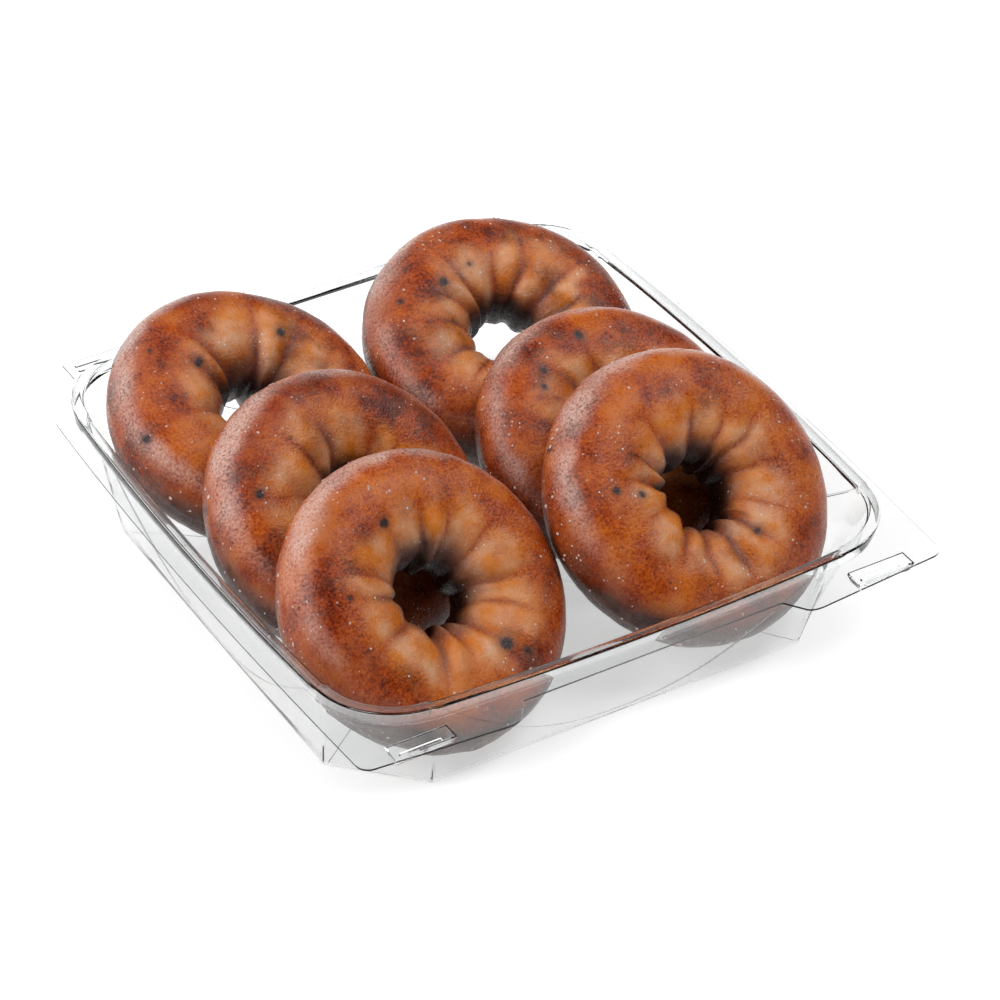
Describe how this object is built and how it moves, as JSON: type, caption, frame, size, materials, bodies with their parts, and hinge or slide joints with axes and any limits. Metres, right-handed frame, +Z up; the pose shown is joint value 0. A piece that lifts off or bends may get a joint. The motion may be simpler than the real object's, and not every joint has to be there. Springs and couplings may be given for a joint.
{
  "type": "box of doughnuts",
  "caption": "Open clear plastic bakery tray filled with glazed cake ring doughnuts that lean on each other in rows and stand proud of its rim.",
  "frame": {"origin": "centre of the tray's outline, on the surface that the tray stands on", "axes": "+Z up, +Y from the edge with the lifting tabs towards the edge with the hinge strip, +X along the front edge to the right"},
  "size_m": [0.1968, 0.2162, 0.0737],
  "materials": {
    "clear_pet": "clear thermoformed sheet, glossy, faint grey tint at its edges",
    "glazed_crust": "fried cake crust with berry pieces under a thin crackled sugar glaze"
  },
  "bodies": {
    "root": {"tray": "clear_pet", "doughnut_front_left": "glazed_crust", "doughnut_front_right": "glazed_crust", "doughnut_middle_left": "glazed_crust", "doughnut_middle_right": "glazed_crust", "doughnut_back_left": "glazed_crust", "doughnut_back_right": "glazed_crust"}
  },
  "joints": []
}
